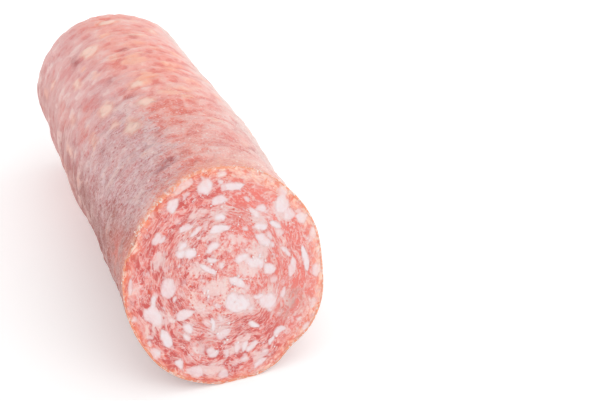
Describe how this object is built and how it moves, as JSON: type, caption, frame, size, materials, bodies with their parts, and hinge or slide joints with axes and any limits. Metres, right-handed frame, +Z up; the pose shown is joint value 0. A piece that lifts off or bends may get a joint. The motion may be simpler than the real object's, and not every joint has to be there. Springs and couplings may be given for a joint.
{
  "type": "cured sausage",
  "caption": "Cured sausage lying on its side: a thick round log in its own casing, cut at a slant at one end to show coarse-ground meat and fat, blunt and closed at the other.",
  "frame": {"origin": "middle of the underside, on the surface that the sausage lies on, halfway between the cut end and the closed end", "axes": "+Z up, +Y along the sausage from the cut face towards the closed end, +X to the right when looking along +Y at the cut face"},
  "size_m": [0.0626, 0.1732, 0.0613],
  "materials": {
    "cured_meat": null
  },
  "bodies": {
    "root": {"sausage": "cured_meat"}
  },
  "joints": []
}
